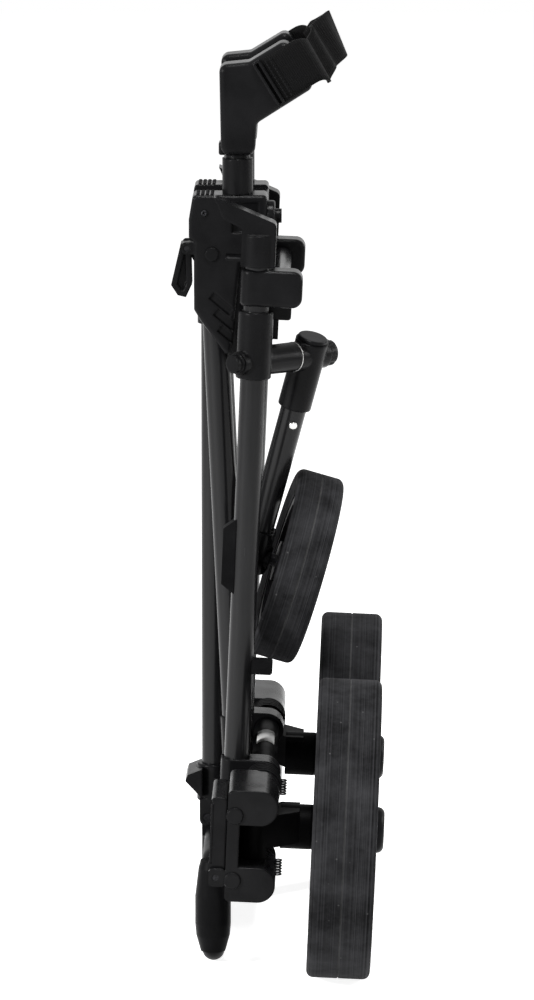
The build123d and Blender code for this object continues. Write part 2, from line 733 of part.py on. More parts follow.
def release_lever():
    """Lever on the left of the hub, with a raised rim about a recessed web."""
    x = lever_pin_x()
    z = lever_pin_z()
    points = [
        (x - 6, z + 4),
        (x + 4, z + 5),
        (x + 5, z - 36),
        (x - 1, z - 49),
        (x - 9, z - 47),
        (x - 15.5, z - 37),
    ]
    outline = make_face(Polyline(*points, close=True))
    inside = offset(outline, -LEVER_RIM)
    width = LEVER_OUTER - LEVER_INNER
    lever = extrude(Plane.XZ.offset(LEVER_INNER) * (outline - inside), amount=width, dir=(0, -1, 0))
    web = Plane.XZ.offset(LEVER_INNER + LEVER_RECESS) * inside
    lever += extrude(web, amount=width - 2 * LEVER_RECESS, dir=(0, -1, 0))
    return lever - across(x, z, LEVER_PIN_R + RUN_CLEARANCE, -LEVER_OUTER, -LEVER_INNER)


def lever_pin():
    reach = SIDE_CLEARANCE + LEVER_EAR
    return across(lever_pin_x(), lever_pin_z(), LEVER_PIN_R, -LEVER_OUTER - reach, -LEVER_INNER + reach)


def hinge_pin():
    """Pin of the handle hinge, with a round head on each cheek."""
    pin = across(HINGE_X, HINGE_Z, HINGE_PIN_R, -CHEEK_OUTER, CHEEK_OUTER)
    for face in (-CHEEK_OUTER - HINGE_HEAD, CHEEK_OUTER):
        pin += across(HINGE_X, HINGE_Z, HINGE_PIN_R + 1, face, face + HINGE_HEAD)
    return pin


def hub_knob():
    """Stepped knob on the right of the near cheek."""
    y = -NECK_Y
    z = HINGE_Z + 36
    knob = rod((HUB_RIGHT, y, z), (HUB_RIGHT + 7.5, y, z), 15)
    knob = fillet(knob.edges().sort_by(Axis.X)[-1:], 2)
    return knob + rod((HUB_RIGHT + 7.5, y, z), (HUB_RIGHT + 14, y, z), 7)


def bag_neck():
    body = upright_bar(NECK_X, -NECK_Y, NECK_R, HUB_TOP, NECK_TOP - NECK_GROOVE)
    body += upright_bar(NECK_X, -NECK_Y, NECK_R - 3, NECK_TOP - NECK_GROOVE, NECK_TOP)
    return body + upright_bar(NECK_X, -NECK_Y, NECK_SPIGOT_R, HUB_TOP - 20, HUB_TOP)


def arm_point(along, down):
    """Point of the bag arm in X and Z, from the bend of its upper edge along its slope."""
    rise = radians(ARM_RISE)
    x = NECK_X + ARM_BEND + along * cos(rise) + down * sin(rise)
    return (x, ARM_TOP + along * sin(rise) - down * cos(rise))


def bag_arm():
    """Arm that cradles the bag: an upright socket that turns into a sloping arm."""
    left = NECK_X - NECK_R - 1
    right = NECK_X + NECK_R + 2
    end_low = arm_point(ARM_LENGTH, ARM_DEPTH)
    points = [
        (left, NECK_TOP),
        (left - 1.6, ARM_TOP - 3),
        arm_point(0, 0),
        arm_point(ARM_LENGTH, 0),
        end_low,
        (right + 2, end_low[1] - (end_low[0] - right - 2) * tan(radians(ARM_RISE + 1))),
        (right, NECK_TOP),
    ]
    body = slab(points, -NECK_Y - ARM_HALF, -NECK_Y + ARM_HALF)
    body = soften(body, Axis.Y, ARM_CORNER)
    return fillet(body.faces().filter_by(Axis.Y).edges(), ARM_EDGE)


def strap_plane():
    """Frame of the strap's run: X along the slope of the arms, Y across, Z over the strap's width."""
    x, z = arm_point(0, STRAP_WIDTH + 4)
    rise = radians(ARM_RISE)
    return Plane(origin=(x, 0, z), x_dir=(cos(rise), 0, sin(rise)), z_dir=(-sin(rise), 0, cos(rise)))


def bag_strap():
    """Webbing that wraps the ends of both arms and crosses between them in a slack bow."""
    side = NECK_Y + ARM_HALF + SIDE_CLEARANCE
    straight = STRAP_TIP - 6
    outline = []
    for grow in (0, STRAP_THICK):
        reach = side + grow
        turn_x = STRAP_TIP + 4 + grow
        turn = ThreePointArc((straight, -reach), (turn_x - 3, -reach + 6), (turn_x, -reach + 18))
        bow = ThreePointArc((turn_x, -reach + 18), (STRAP_TIP + STRAP_BULGE + grow, 0), (turn_x, reach - 18))
        back = ThreePointArc((turn_x, reach - 18), (turn_x - 3, reach - 6), (straight, reach))
        run = Line((STRAP_START, -reach), (straight, -reach))
        home = Line((straight, reach), (STRAP_START, reach))
        outline.append([run, turn, bow, back, home])
    half = side + STRAP_THICK
    edges = outline[0] + outline[1]
    edges.append(Line((STRAP_START, -side), (STRAP_START, -half)))
    edges.append(Line((STRAP_START, side), (STRAP_START, half)))
    loose = [edge for curve in edges for edge in curve.edges()]
    face = make_face(loose)
    return strap_plane() * extrude(face, amount=STRAP_WIDTH, dir=(0, 0, 1))


def strap_keeper():
    """Bar across the start of the strap on the near arm."""
    y0 = -NECK_Y - ARM_HALF - SIDE_CLEARANCE - STRAP_THICK - 3
    body = block(STRAP_START - 1, STRAP_START + 6, y0, y0 + 3, -1, STRAP_WIDTH + 1)
    return strap_plane() * fillet(body.edges().filter_by(Axis.Z).sort_by(Axis.Y)[:2], 1.2)


# Handle, in the frame of the part
def handle_knuckle():
    half = CHEEK_INNER - SIDE_CLEARANCE
    body = across(HINGE_X, HINGE_Z, KNUCKLE_HANDLE_R, -half, half)
    body += upright_bar(HINGE_X, 0, KNUCKLE_SOCKET_R, HINGE_Z - KNUCKLE_SOCKET, HINGE_Z)
    body -= upright_bar(HINGE_X, 0, HANDLE_SPIGOT_R, HINGE_Z - KNUCKLE_SOCKET, HINGE_Z - HINGE_PIN_R - 6)
    return body - across(HINGE_X, HINGE_Z, HINGE_PIN_R + RUN_CLEARANCE, -half, half)


def handle_tube():
    """Tube of the handle, turned down a little where it enters the knuckle and the yoke."""
    low = YOKE_HIGH - YOKE_SOCKET
    high = HINGE_Z - HINGE_PIN_R - 6
    body = upright_bar(HINGE_X, 0, HANDLE_R, YOKE_HIGH, HINGE_Z - KNUCKLE_SOCKET)
    body += upright_bar(HINGE_X, 0, HANDLE_SPIGOT_R, low, high)
    return body - upright_bar(HINGE_X, 0, HANDLE_R - TUBE_WALL, low, high)


def handle_yoke():
    """Socket on the lower end of the handle tube, with a fork for the loop."""
    body = upright_bar(HINGE_X, 0, YOKE_R, YOKE_LOW, YOKE_HIGH)
    body = fillet(body.edges(), EDGE)
    for low in (-16, 8):
        ear = block(LOOP_PIN_X - LOOP_EYE_R, LOOP_PIN_X + 12, low, low + 8,
                    LOOP_PIN_Z - LOOP_EYE_R, YOKE_LOW + 4)
        body += fillet(ear.edges().filter_by(Axis.Y).sort_by(Axis.Z)[:2], LOOP_EYE_R - 1)
    body -= upright_bar(HINGE_X, 0, HANDLE_SPIGOT_R, YOKE_HIGH - YOKE_SOCKET, YOKE_HIGH)
    return body - across(LOOP_PIN_X, LOOP_PIN_Z, LOOP_PIN_R, -16, 16)


def console_hood():
    """Wedge-shaped hood on the left of the yoke."""
    left = HINGE_X - YOKE_R
    points = [
        (left + 6, YOKE_LOW + 6),
        (left + 6, YOKE_HIGH - 2),
        (left - 9, YOKE_HIGH - 8),
        (left - 11, YOKE_HIGH - 14),
    ]
    body = slab(points, -26, 26)
    return body - upright_bar(HINGE_X, 0, YOKE_R, YOKE_LOW, YOKE_HIGH)


def loop_pin():
    return across(LOOP_PIN_X, LOOP_PIN_Z, LOOP_PIN_R, -16, 16)


def loop_ring():
    """Round bar bent into the closed loop of the handle."""
    outline = RectangleRounded(LOOP_HALF * 2, LOOP_TOP - LOOP_LOW, LOOP_CORNER)
    middle = (LOOP_X, 0, (LOOP_TOP + LOOP_LOW) / 2)
    path = Plane(origin=middle, x_dir=(0, 1, 0), z_dir=(1, 0, 0)) * outline.wire()
    section = Plane(origin=(LOOP_X, 0, LOOP_LOW), x_dir=(1, 0, 0), z_dir=(0, 1, 0)) * Circle(LOOP_R)
    return sweep(section, path=path)


def loop_core():
    """Closed loop of the handle, with the knuckle of its hinge on top."""
    half = 8 - SIDE_CLEARANCE
    eye = across(LOOP_PIN_X, LOOP_PIN_Z, LOOP_EYE_R, -half, half)
    eye += block(LOOP_PIN_X - 6, LOOP_PIN_X + LOOP_EYE_R, -half, half, LOOP_TOP, LOOP_PIN_Z)
    return loop_ring() + eye - across(LOOP_PIN_X, LOOP_PIN_Z, LOOP_PIN_R + RUN_CLEARANCE, -8, 8)


def side_grip():
    """Soft bulging sleeve on one side of the loop."""
    low = LOOP_LOW + 4
    high = LOOP_TOP + 4
    outline = Polyline((0, low), (GRIP_END_R, low), (GRIP_R - 1, low + 16), (GRIP_R, low + 28),
                       (GRIP_R, high - 36), (GRIP_END_R + 2, high - 8), (GRIP_END_R, high), (0, high),
                       close=True)
    sleeve = revolve(Plane.XZ * make_face(outline), Axis.Z)
    return Pos(LOOP_X, -LOOP_HALF, 0) * sleeve - loop_ring()


def both_sides(near_piece):
    """One near piece and its mirror image as a group of separate solids."""
    return near_piece + far(near_piece)


def rear_wheel_pieces():
    """Pieces that turn with a rear wheel, about their own axle."""
    bush_r = REAR_AXLE_R + BUSH_WALL
    return {
        "rear_tyre": tyre(REAR_R, REAR_WIDTH, REAR_TYRE_DEPTH),
        "rear_rim": spoked_rim(REAR_R - REAR_TYRE_DEPTH, REAR_WIDTH, REAR_HUB_R, bush_r, 6),
        "rear_bush": axle_bush(REAR_AXLE_R + RUN_CLEARANCE, bush_r, REAR_WIDTH - HUB_INSET),
        "rear_hub_cap": Pos(0, 0, (REAR_WIDTH - HUB_INSET) / 2) * hub_cap(REAR_CAP_R, REAR_CAP),
    }


def front_wheel_pieces():
    """Pieces that turn with the front wheel, about their own axle."""
    bush_r = FRONT_AXLE_R + BUSH_WALL
    return {
        "front_tyre": tyre(FRONT_R, FRONT_WIDTH, FRONT_TYRE_DEPTH),
        "front_rim": spoked_rim(FRONT_R - FRONT_TYRE_DEPTH, FRONT_WIDTH, FRONT_HUB_R, bush_r, 5),
        "front_bush": axle_bush(FRONT_AXLE_R + RUN_CLEARANCE, bush_r, FRONT_WIDTH - HUB_INSET),
        "front_hub_cap": Pos(0, 0, (FRONT_WIDTH - HUB_INSET) / 2) * hub_cap(FRONT_HUB_R - 2, FRONT_CAP),
    }


def base_pieces():
    """Pieces drawn in the frame of the base, before they lean."""
    pieces = {}
    for make in (wheel_latch, wheel_arm, rear_axle):
        near_piece = make()
        pieces[make.__name__ + "_near"] = near_piece
        pieces[make.__name__ + "_far"] = far(near_piece)
    for name, piece in rear_wheel_pieces().items():
        near_piece = rear_wheel_place() * piece
        pieces[name + "_near"] = near_piece
        pieces[name + "_far"] = far(near_piece)
    for name, piece in front_wheel_pieces().items():
        pieces[name] = front_wheel_place() * piece
    tube = base_tube()
    pieces["base_tubes"] = tube - shaft_rod(-COLLAR_R, COLLAR_R, BOLT_R) + far(tube)
    pieces["wheel_clevises"] = both_sides(wheel_clevis())
    for make in (beam_bracket, swing_pin, latch_pin, cross_lug, bag_prong, frame_bumper):
        pieces[make.__name__ + "s"] = both_sides(make())
    for make in (clevis_screws, ribbed_sleeves):
        pieces[make.__name__] = both_sides(make())
    for make in (rear_cross_tube, pivot_shaft, front_cross_tube, cross_clip, rest_block, leg_collar,
                 leg_shaft, lock_knob, leg_tee, tee_cap, leg_tube, snap_button, leg_foot, front_axle):
        pieces[make.__name__] = make()
    return pieces


def upright_pieces():
    """Pieces drawn along the upright, before it leans."""
    return {"upright_tubes": both_sides(upright_tube()), "upright_feet": both_sides(upright_foot())}


def hub_and_handle_pieces():
    """Pieces drawn in the frame of the part."""
    pieces = {}
    for make in (bag_neck, bag_arm, side_grip):
        pieces[make.__name__ + "s"] = both_sides(make())
    for make in (hub_housing, release_lever, lever_pin, hinge_pin, hub_knob, bag_strap, strap_keeper,
                 handle_knuckle, handle_tube, handle_yoke, console_hood, loop_pin, loop_core):
        pieces[make.__name__] = make()
    return pieces


def all_pieces():
    """Every piece of the cart by its name, in place."""
    pieces = {}
    for name, piece in base_pieces().items():
        pieces[name] = BASE * piece
    for name, piece in upright_pieces().items():
        pieces[name] = UPRIGHT * piece
    pieces.update(hub_and_handle_pieces())
    return pieces


os.makedirs("parts", exist_ok=True)
for node, piece in all_pieces().items():
    export_step(piece, f"parts/{node}.step")
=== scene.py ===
"""Looks of a folded three-wheel golf push cart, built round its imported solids."""
from __future__ import annotations

import json
import logging
import math
from dataclasses import dataclass, field
from enum import Enum
from typing import Any, Callable, Iterable

import bmesh
import bpy
from mathutils import Matrix, Vector
from mathutils.geometry import interpolate_bezier

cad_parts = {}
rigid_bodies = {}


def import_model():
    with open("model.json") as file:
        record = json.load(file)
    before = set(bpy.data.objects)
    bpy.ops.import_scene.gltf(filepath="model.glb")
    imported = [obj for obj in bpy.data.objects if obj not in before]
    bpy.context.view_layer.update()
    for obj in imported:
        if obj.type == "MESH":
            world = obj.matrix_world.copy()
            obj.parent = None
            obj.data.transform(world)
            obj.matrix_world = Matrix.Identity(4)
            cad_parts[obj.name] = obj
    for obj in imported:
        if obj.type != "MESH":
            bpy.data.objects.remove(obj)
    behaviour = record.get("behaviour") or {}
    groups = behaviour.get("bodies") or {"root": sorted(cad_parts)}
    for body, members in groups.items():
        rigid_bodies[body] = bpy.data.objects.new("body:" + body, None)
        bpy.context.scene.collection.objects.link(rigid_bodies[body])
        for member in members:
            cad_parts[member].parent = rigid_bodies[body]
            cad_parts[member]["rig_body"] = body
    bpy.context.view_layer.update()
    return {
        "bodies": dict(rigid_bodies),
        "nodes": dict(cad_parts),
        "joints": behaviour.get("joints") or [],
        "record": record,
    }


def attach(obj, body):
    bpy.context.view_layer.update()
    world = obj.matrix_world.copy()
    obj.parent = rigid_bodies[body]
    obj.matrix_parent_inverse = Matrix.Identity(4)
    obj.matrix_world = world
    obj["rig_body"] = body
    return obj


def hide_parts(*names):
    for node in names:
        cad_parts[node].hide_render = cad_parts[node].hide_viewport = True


LOG = logging.getLogger("push_cart")
MM = 0.001
# Signs of Y on the near side and on the far side
HANDS = (-1, 1)
# Points closer than this, in metres, are one point
SAME_POINT = 1e-6
# UV map of the webbing, in millimetres
CLOTH_MAP = "cloth"
# Scale of a wave texture whose bands lie 1 apart
WAVE_SCALE = 0.314
# Radius and height of each point of a ring's section, in mm
Profile = tuple[tuple[float, float], ...]


class Body(Enum):
    """Bodies of the cart that new pieces ride on."""

    BASE = "base"
    UPRIGHT = "upright"
    NEAR_ARM = "rear_arm_near"
    FAR_ARM = "rear_arm_far"
    NEAR_LATCH = "latch_near"
    FAR_LATCH = "latch_far"


def linear(code: str) -> tuple[float, float, float, float]:
    """Turn a colour written as sRGB hex into linear light.

    Args:
        code: Six hex digits after a hash sign.

    Returns:
        Red, green, blue and an alpha of 1.
    """
    values = []
    for start in (1, 3, 5):
        level = int(code[start:start + 2], 16) / 255
        values.append(level / 12.92 if level <= 0.04045 else ((level + 0.055) / 1.055) ** 2.4)
    return values[0], values[1], values[2], 1.0


def add_node(tree: bpy.types.NodeTree, kind: str, settings: dict[str, Any],
             inputs: dict[str | int, Any]) -> bpy.types.Node:
    """Add a node with its settings and links.

    Args:
        tree: Node tree of a material or of the world.
        kind: Blender's name of the node's type.
        settings: Values for the node's own properties.
        inputs: Values or output sockets for the node's inputs.

    Returns:
        The new node.
    """
    made = tree.nodes.new(kind)
    for name, value in settings.items():
        setattr(made, name, value)
    for socket, value in inputs.items():
        if isinstance(value, bpy.types.NodeSocket):
            tree.links.new(value, made.inputs[socket])
        else:
            made.inputs[socket].default_value = value
    return made


def empty_material(name: str) -> tuple[bpy.types.Material, bpy.types.NodeTree]:
    """Make a material that holds no nodes yet.

    Args:
        name: Name of the finish.

    Returns:
        The material and its node tree.
    """
    material = bpy.data.materials.new(name)
    material.use_nodes = True
    material.node_tree.nodes.clear()
    return material, material.node_tree


def close_material(tree: bpy.types.NodeTree, shader: bpy.types.Node) -> None:
    """Link a shader to the material's output."""
    add_node(tree, "ShaderNodeOutputMaterial", {}, {"Surface": shader.outputs[0]})


def two_tone(tree: bpy.types.NodeTree, factor: bpy.types.NodeSocket, low: float, high: float,
             dark: str, light: str) -> bpy.types.NodeSocket:
    """Blend two colours where a pattern rises from one level to another.

    Args:
        tree: Node tree of the material.
        factor: The pattern's value.
        low: Level that gives the dark colour.
        high: Level that gives the light colour.
        dark: Dark colour, as hex.
        light: Light colour, as hex.

    Returns:
        The colour's socket.
    """
    ramp = add_node(tree, "ShaderNodeValToRGB", {}, {"Fac": factor})
    first, last = ramp.color_ramp.elements
    first.position = low
    first.color = linear(dark)
    last.position = high
    last.color = linear(light)
    return ramp.outputs["Color"]


@dataclass(frozen=True)
class MouldedFinish:
    """Moulded plastic or rubber with a spark-eroded grain, flow mottling and rubbed patches.

    The grain is drawn at about 2 mm, coarser than the real half millimetre, so that it shows.
    """

    name: str
    dark: str
    light: str
    roughness: float
    grain_mm: float = 2.0
    grain_depth: float = 0.12
    mottle_mm: float = 38.0
    specular: float = 0.04
    edge_mm: float = 1.1

    def material(self) -> bpy.types.Material:
        """Build the material with its grain, mottling and rounded edges."""
        material, tree = empty_material(self.name)
        place = add_node(tree, "ShaderNodeTexCoord", {}, {}).outputs["Object"]
        mottle = add_node(tree, "ShaderNodeTexNoise", {},
                          {"Vector": place, "Scale": 1 / (self.mottle_mm * MM), "Detail": 4.0,
                           "Roughness": 0.6})
        grain = add_node(tree, "ShaderNodeTexNoise", {},
                         {"Vector": place, "Scale": 1 / (self.grain_mm * MM), "Detail": 2.0})
        colour = two_tone(tree, mottle.outputs["Fac"], 0.32, 0.74, self.dark, self.light)
        rubbed = add_node(tree, "ShaderNodeMapRange", {},
                          {"Value": mottle.outputs["Fac"], "From Min": 0.35, "From Max": 0.75,
                           "To Min": self.roughness + 0.06, "To Max": self.roughness - 0.08})
        round_edge = add_node(tree, "ShaderNodeBevel", {"samples": 4},
                              {"Radius": self.edge_mm * MM})
        bump = add_node(tree, "ShaderNodeBump", {},
                        {"Height": grain.outputs["Fac"], "Strength": self.grain_depth,
                         "Distance": 0.25 * MM, "Normal": round_edge.outputs[0]})
        shader = add_node(tree, "ShaderNodeBsdfPrincipled", {},
                          {"Base Color": colour, "Roughness": rubbed.outputs[0],
                           "Normal": bump.outputs[0], "Specular IOR Level": self.specular})
        close_material(tree, shader)
        return material


@dataclass(frozen=True)
class CoatedTubeFinish:
    """Aluminium tube under satin black powder coat: a fine orange peel and faint rubbing marks.

    The peel is drawn at 1.6 mm, about twice its real size, so that it breaks up the highlight.
    """

    name: str
    colour: str
    rubbed: str
    roughness: float
    peel_mm: float = 1.6
    streak_mm: float = 26.0

    def material(self) -> bpy.types.Material:
        """Build the material with its peel, its rubbing marks and a thin coat."""
        material, tree = empty_material(self.name)
        place = add_node(tree, "ShaderNodeTexCoord", {}, {}).outputs["Object"]
        peel = add_node(tree, "ShaderNodeTexNoise", {},
                        {"Vector": place, "Scale": 1 / (self.peel_mm * MM), "Detail": 1.0})
        stretch = add_node(tree, "ShaderNodeMapping", {},
                           {"Vector": place, "Scale": (1.0, 1.0, 0.12)})
        marks = add_node(tree, "ShaderNodeTexNoise", {},
                         {"Vector": stretch.outputs[0], "Scale": 1 / (self.streak_mm * MM),
                          "Detail": 5.0, "Roughness": 0.65})
        colour = two_tone(tree, marks.outputs["Fac"], 0.45, 0.8, self.colour, self.rubbed)
        rough = add_node(tree, "ShaderNodeMapRange", {},
                         {"Value": marks.outputs["Fac"], "From Min": 0.3, "From Max": 0.8,
                          "To Min": self.roughness - 0.05, "To Max": self.roughness + 0.1})
        bump = add_node(tree, "ShaderNodeBump", {},
                        {"Height": peel.outputs["Fac"], "Strength": 0.1, "Distance": 0.1 * MM})
        shader = add_node(tree, "ShaderNodeBsdfPrincipled", {},
                          {"Base Color": colour, "Roughness": rough.outputs[0],
                           "Normal": bump.outputs[0], "Specular IOR Level": 0.15,
                           "Coat Weight": 0.04, "Coat Roughness": 0.3})
        close_material(tree, shader)
        return material


@dataclass(frozen=True)
class FoamTyreFinish:
    """Moulded EVA foam: dull charcoal with open cells, streaks round the tread and a pale seam.

    Small pale specks lie over it. Cells are drawn at 2.4 mm, a little over their real size, so
    that they show.
    """

    name: str
    centre: tuple[float, float, float]
    axle: tuple[float, float, float]
    dark: str = "#0a0a0b"
    light: str = "#343436"
    scuff: str = "#747474"
    streak_mm: float = 1.8
    cell_mm: float = 2.4
    patch_mm: float = 45.0
    speck_mm: float = 15.0
    seam_mm: float = 1.2

    def material(self) -> bpy.types.Material:
        """Build the material with streaks that run round the axle."""
        material, tree = empty_material(self.name)
        place = add_node(tree, "ShaderNodeTexCoord", {}, {}).outputs["Object"]
        from_hub = add_node(tree, "ShaderNodeVectorMath", {"operation": "SUBTRACT"},
                            {0: place, 1: self.centre})
        along = add_node(tree, "ShaderNodeVectorMath", {"operation": "DOT_PRODUCT"},
                         {0: from_hub.outputs[0], 1: self.axle}).outputs["Value"]
        streak = add_node(tree, "ShaderNodeTexNoise", {"noise_dimensions": "1D"},
                          {"W": along, "Scale": 1 / (self.streak_mm * MM), "Detail": 3.0,
                           "Roughness": 0.7})
        patch = add_node(tree, "ShaderNodeTexNoise", {},
                         {"Vector": place, "Scale": 1 / (self.patch_mm * MM), "Detail": 6.0,
                          "Roughness": 0.68})
        cells = add_node(tree, "ShaderNodeTexVoronoi", {"feature": "F1"},
                         {"Vector": place, "Scale": 1 / (self.cell_mm * MM)})
        level = add_node(tree, "ShaderNodeMix", {"data_type": "FLOAT"},
                         {"Factor": 0.55, "A": streak.outputs["Fac"], "B": patch.outputs["Fac"]})
        ground = two_tone(tree, level.outputs[0], 0.4, 0.62, self.dark, self.light)
        off_middle = add_node(tree, "ShaderNodeMath", {"operation": "ABSOLUTE"}, {0: along})
        seam = add_node(tree, "ShaderNodeMapRange", {},
                        {"Value": off_middle.outputs[0], "From Min": 0.0,
                         "From Max": self.seam_mm * MM, "To Min": 0.75, "To Max": 0.0})
        dots = add_node(tree, "ShaderNodeTexVoronoi", {"feature": "F1"},
                        {"Vector": place, "Scale": 1 / (self.speck_mm * MM)})
        speck = add_node(tree, "ShaderNodeMapRange", {},
                         {"Value": dots.outputs["Distance"], "From Min": 0.03, "From Max": 0.08,
                          "To Min": 0.6, "To Max": 0.0})
        marks = add_node(tree, "ShaderNodeMath", {"operation": "MAXIMUM"},
                         {0: seam.outputs[0], 1: speck.outputs[0]})
        worn = add_node(tree, "ShaderNodeMath", {"operation": "MULTIPLY"},
                        {0: marks.outputs[0], 1: patch.outputs["Fac"]})
        colour = add_node(tree, "ShaderNodeMix", {"data_type": "RGBA"},
                          {"Factor": worn.outputs[0], 6: ground, 7: linear(self.scuff)})
        height = add_node(tree, "ShaderNodeMix", {"data_type": "FLOAT"},
                          {"Factor": 0.6, "A": cells.outputs["Distance"],
                           "B": streak.outputs["Fac"]})
        bump = add_node(tree, "ShaderNodeBump", {},
                        {"Height": height.outputs[0], "Strength": 0.5, "Distance": 0.5 * MM})
        shader = add_node(tree, "ShaderNodeBsdfPrincipled", {},
                          {"Base Color": colour.outputs[2], "Roughness": 0.82,
                           "Normal": bump.outputs[0], "Specular IOR Level": 0.07})
        close_material(tree, shader)
        return material


@dataclass(frozen=True)
class WebbingFinish:
    """Woven nylon webbing: ribs across the strap, a herringbone of threads and a soft sheen."""

    name: str = "woven_nylon_webbing"
    dark: str = "#020202"
    light: str = "#0d0d0e"
    rib_mm: float = 2.2
    thread_mm: float = 1.3

    def material(self) -> bpy.types.Material:
        """Build the weave on the strap's own UV map, which is in millimetres."""
        material, tree = empty_material(self.name)
        flat = add_node(tree, "ShaderNodeUVMap", {"uv_map": CLOTH_MAP}, {}).outputs[0]
        ribs = add_node(tree, "ShaderNodeTexWave", {"bands_direction": "X"},
                        {"Vector": flat, "Scale": WAVE_SCALE / self.rib_mm, "Distortion": 0.4,
                         "Detail": 1.0})
        threads = add_node(tree, "ShaderNodeTexWave", {"bands_direction": "Y"},
                           {"Vector": flat, "Scale": WAVE_SCALE / self.thread_mm, "Distortion": 0.6,
                            "Detail": 1.0})
        weave = add_node(tree, "ShaderNodeMath", {"operation": "MULTIPLY"},
                         {0: ribs.outputs["Fac"], 1: threads.outputs["Fac"]})
        colour = two_tone(tree, weave.outputs[0], 0.1, 0.9, self.dark, self.light)
        bump = add_node(tree, "ShaderNodeBump", {},
                        {"Height": weave.outputs[0], "Strength": 0.7, "Distance": 0.6 * MM})
        shader = add_node(tree, "ShaderNodeBsdfPrincipled", {},
                          {"Base Color": colour, "Roughness": 0.72, "Normal": bump.outputs[0],
                           "Sheen Weight": 0.04, "Sheen Roughness": 0.5,
                           "Specular IOR Level": 0.06})
        close_material(tree, shader)
        return material


@dataclass(frozen=True)
class SteelFinish:
    """Turned or drawn steel with fine tool marks, black-oxidised or zinc-plated."""

    name: str
    colour: str
    bright: str
    roughness: float
    mark_mm: float = 1.4

    def material(self) -> bpy.types.Material:
        """Build the metal with its tool marks."""
        material, tree = empty_material(self.name)
        place = add_node(tree, "ShaderNodeTexCoord", {}, {}).outputs["Object"]
        marks = add_node(tree, "ShaderNodeTexNoise", {},
                         {"Vector": place, "Scale": 1 / (self.mark_mm * MM), "Detail": 4.0})
        colour = two_tone(tree, marks.outputs["Fac"], 0.35, 0.75, self.colour, self.bright)
        rough = add_node(tree, "ShaderNodeMapRange", {},
                         {"Value": marks.outputs["Fac"], "To Min": self.roughness - 0.08,
                          "To Max": self.roughness + 0.1})
        bump = add_node(tree, "ShaderNodeBump", {},
                        {"Height": marks.outputs["Fac"], "Strength": 0.15, "Distance": 0.1 * MM})
        shader = add_node(tree, "ShaderNodeBsdfPrincipled", {},
                          {"Base Color": colour, "Metallic": 1.0, "Roughness": rough.outputs[0],
                           "Normal": bump.outputs[0]})
        close_material(tree, shader)
        return material


Finish = MouldedFinish | CoatedTubeFinish | FoamTyreFinish | WebbingFinish | SteelFinish

# Glass-filled nylon, injection moulded: dull black with a broad soft highlight
NYLON = MouldedFinish("glass_filled_nylon_moulded", "#0b0b0c", "#161617", 0.24, specular=0.06,
                      edge_mm=3.0)
# Nylon of the wheel arms, their dust collars and the swing stops: painted shade, a near black copy of
# the casting nylon for the shaded underside; matt, with hardly any sheen
ARM_NYLON_PAINTED_SHADE = MouldedFinish("nylon_painted_shade_moulded", "#030303", "#070708", 0.5, specular=0.02)
# Polypropylene wheel mouldings: a little duller than the nylon
RIM_PLASTIC = MouldedFinish("polypropylene_moulded", "#0d0d0e", "#18181a", 0.34, mottle_mm=30.0)
# Acetal bushes: plain waxy dark grey
BUSH_PLASTIC = MouldedFinish("acetal_moulded", "#2e2e2f", "#3a3a3b", 0.4, grain_depth=0.05)
# Thermoplastic rubber pads: very dull, with a coarse grain
PAD_RUBBER = MouldedFinish("thermoplastic_rubber_moulded", "#080809", "#121213", 0.6,
                           grain_depth=0.25)
# Soft-touch rubber of the grips: dull, smooth, slightly dusty
GRIP_RUBBER = MouldedFinish("soft_touch_rubber_moulded", "#070708", "#101011", 0.4, grain_mm=3.0,
                            grain_depth=0.2)
# Aluminium tube with satin powder coat: charcoal in the highlight, near black beside it
TUBE_COAT = CoatedTubeFinish("powder_coated_aluminium", "#131314", "#1f1f20", 0.22)
# Coat of the rear cross tube: painted shade, a near black copy of the tube coat, and rougher so that it
# shows no reflected highlight
TUBE_COAT_PAINTED_SHADE = MouldedFinish("powder_coat_painted_shade", "#030303", "#070708", 0.5, specular=0.02)
# Black oxide on turned steel: dark, with a low sheen
BLACK_STEEL = SteelFinish("black_oxide_steel", "#1a1a1b", "#2c2c2e", 0.42)
# Zinc plate on pressed steel: light grey, soft mirror
ZINC_STEEL = SteelFinish("zinc_plated_steel", "#b4b4b2", "#d2d2d0", 0.3)
# Polyester film of the blank band: pale grey, half matt
FILM = MouldedFinish("matt_polyester_film", "#d2d2d0", "#e2e2e0", 0.5, grain_depth=0.04,
                     specular=0.2, edge_mm=0.2)
# Nylon webbing of the bag strap: black, ribbed, without shine
WEBBING = WebbingFinish()
# Bonded nylon thread of the strap's seams: a touch lighter than the webbing
WEBBING_THREAD = MouldedFinish("bonded_nylon_thread", "#151516", "#1f1f20", 0.6, grain_mm=1.0)


class Workshop:
    """Makes pieces from bmeshes and keeps one material for each finish."""

    def __init__(self) -> None:
        """Start with no materials."""
        self.materials: dict[str, bpy.types.Material] = {}

    def finish(self, finish: Finish) -> bpy.types.Material:
        """Return the material of a finish, built once."""
        if finish.name not in self.materials:
            self.materials[finish.name] = finish.material()
        return self.materials[finish.name]

    def piece(self, name: str, shape: bmesh.types.BMesh, finish: Finish, body: Body) -> bpy.types.Object:
        """Turn a bmesh into a piece that rides on a body.

        Args:
            name: Name of the piece.
            shape: The bmesh, in metres, which is freed.
            finish: Finish of the piece.
            body: Body that carries it.

        Returns:
            The new object.
        """
        mesh = bpy.data.meshes.new(name)
        for face in shape.faces:
            face.smooth = True
        shape.to_mesh(mesh)
        shape.free()
        made = bpy.data.objects.new(name, mesh)
        bpy.context.scene.collection.objects.link(made)
        mesh.materials.append(self.finish(finish))
        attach(made, body.value)
        LOG.info("%s: %d faces on %s", name, len(mesh.polygons), body.value)
        return made


def aim(axis: Vector, origin: Vector) -> Matrix:
    """Matrix that stands a shape drawn along Z on a point, along an axis."""
    turn = Vector((0, 0, 1)).rotation_difference(axis)
    return Matrix.Translation(origin) @ turn.to_matrix().to_4x4()


